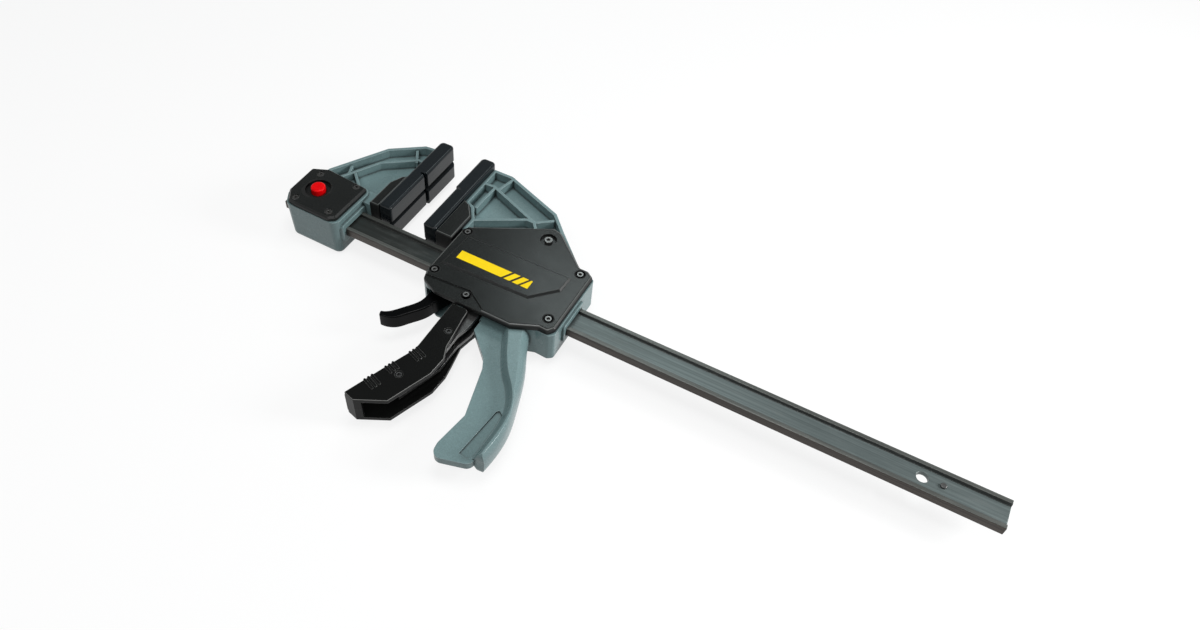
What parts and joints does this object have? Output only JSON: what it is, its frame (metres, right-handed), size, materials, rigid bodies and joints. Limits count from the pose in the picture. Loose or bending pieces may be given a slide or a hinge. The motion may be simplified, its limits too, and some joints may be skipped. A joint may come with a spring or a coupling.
{
  "type": "quick release bar clamp",
  "caption": "Trigger-operated bar clamp with a fixed jaw and a sliding jaw on a steel bar, deep ribbed arms, soft pads, pump trigger, release lever and a push-button bar lock.",
  "frame": {"origin": "on the bar's axis, half way through its thickness, in the plane of the fixed jaw's clamping face", "axes": "+X along the bar from the fixed jaw to the bar's free end, +Y from the bar to the jaw tips, +Z square to both, towards the side with the covers and the button"},
  "size_m": [0.5687, 0.2557, 0.042],
  "materials": {
    "grey_moulding": "satin, fine grain",
    "black_moulding": "fine spark-eroded grain",
    "gloss_black": "smooth, half gloss",
    "pad_rubber": "soft, matt",
    "bar_steel": "dark grey coating, drawn along the bar",
    "screw_steel": "zinc plated",
    "screw_black": "black oxide",
    "works_steel": "plain, lightly oiled",
    "red_plastic": "smooth, half gloss",
    "yellow_plastic": "printed plate"
  },
  "bodies": {
    "bar_assembly": {"bar": "bar_steel", "stop_pin": "works_steel", "fixed_jaw_body": "grey_moulding", "fixed_jaw_cover": "black_moulding", "fixed_cover_screws": "screw_black", "rocker_pin": "works_steel", "button_spring": "works_steel", "fixed_pad_carrier": "black_moulding", "fixed_jaw_pad": "pad_rubber"},
    "release_button": {"release_button": "red_plastic"},
    "lock_rocker": {"lock_rocker": "works_steel"},
    "moving_jaw": {"housing_body": "grey_moulding", "side_cover": "black_moulding", "label_plate": "yellow_plastic", "cover_screws": "screw_steel", "cover_bolt": "screw_steel", "moving_pad_carrier": "black_moulding", "moving_jaw_pad": "pad_rubber", "front_guide": "black_moulding", "rear_guide": "black_moulding", "trigger_pin": "works_steel", "brake_pin": "works_steel", "drive_spring": "works_steel", "brake_spring": "works_steel"},
    "trigger": {"trigger_shell_front": "gloss_black", "trigger_shell_back": "gloss_black", "trigger_arm_front": "works_steel", "trigger_arm_back": "works_steel", "trigger_screws": "screw_steel"},
    "drive_plates": {"drive_plate_1": "works_steel", "drive_plate_2": "works_steel", "drive_plate_3": "works_steel"},
    "brake": {"release_lever": "gloss_black", "brake_plate_1": "works_steel", "brake_plate_2": "works_steel"}
  },
  "joints": [
    {"name": "jaw_slide", "type": "slide", "parent": "bar_assembly", "child": "moving_jaw", "axis": [1, 0, 0], "range_m": [-0.028, 0.269]},
    {"name": "trigger_pivot", "type": "hinge", "parent": "moving_jaw", "child": "trigger", "pos_m": [0.112, 0.024, 0], "axis": [0, 0, 1], "range_deg": [0, 15], "stiffness_Nm_per_rad": 1, "springref_deg": -17.19},
    {"name": "plates_slide", "type": "slide", "parent": "moving_jaw", "child": "drive_plates", "axis": [1, 0, 0], "range_m": [0, 0.0079], "deforming": ["drive_spring"]},
    {"name": "lever_pivot", "type": "hinge", "parent": "moving_jaw", "child": "brake", "pos_m": [0.081, 0.022, 0], "axis": [0, 0, 1], "range_deg": [0, 6], "stiffness_Nm_per_rad": 0.8, "springref_deg": -14.32, "deforming": ["brake_spring"]},
    {"name": "button_press", "type": "slide", "parent": "bar_assembly", "child": "release_button", "axis": [0, 0, -1], "range_m": [0, 0.0016], "stiffness_N_per_m": 600, "springref_m": -0.002, "deforming": ["button_spring"]},
    {"name": "rocker_tilt", "type": "hinge", "parent": "bar_assembly", "child": "lock_rocker", "pos_m": [-0.054, 0.00175, 0.006], "axis": [0, -1, 0], "range_deg": [0, 9.6]}
  ],
  "couplings": [
    {"joint": "plates_slide", "follows": "trigger_pivot", "m_per_rad": 0.03},
    {"joint": "rocker_tilt", "follows": "button_press", "rad_per_m": 104.17}
  ]
}
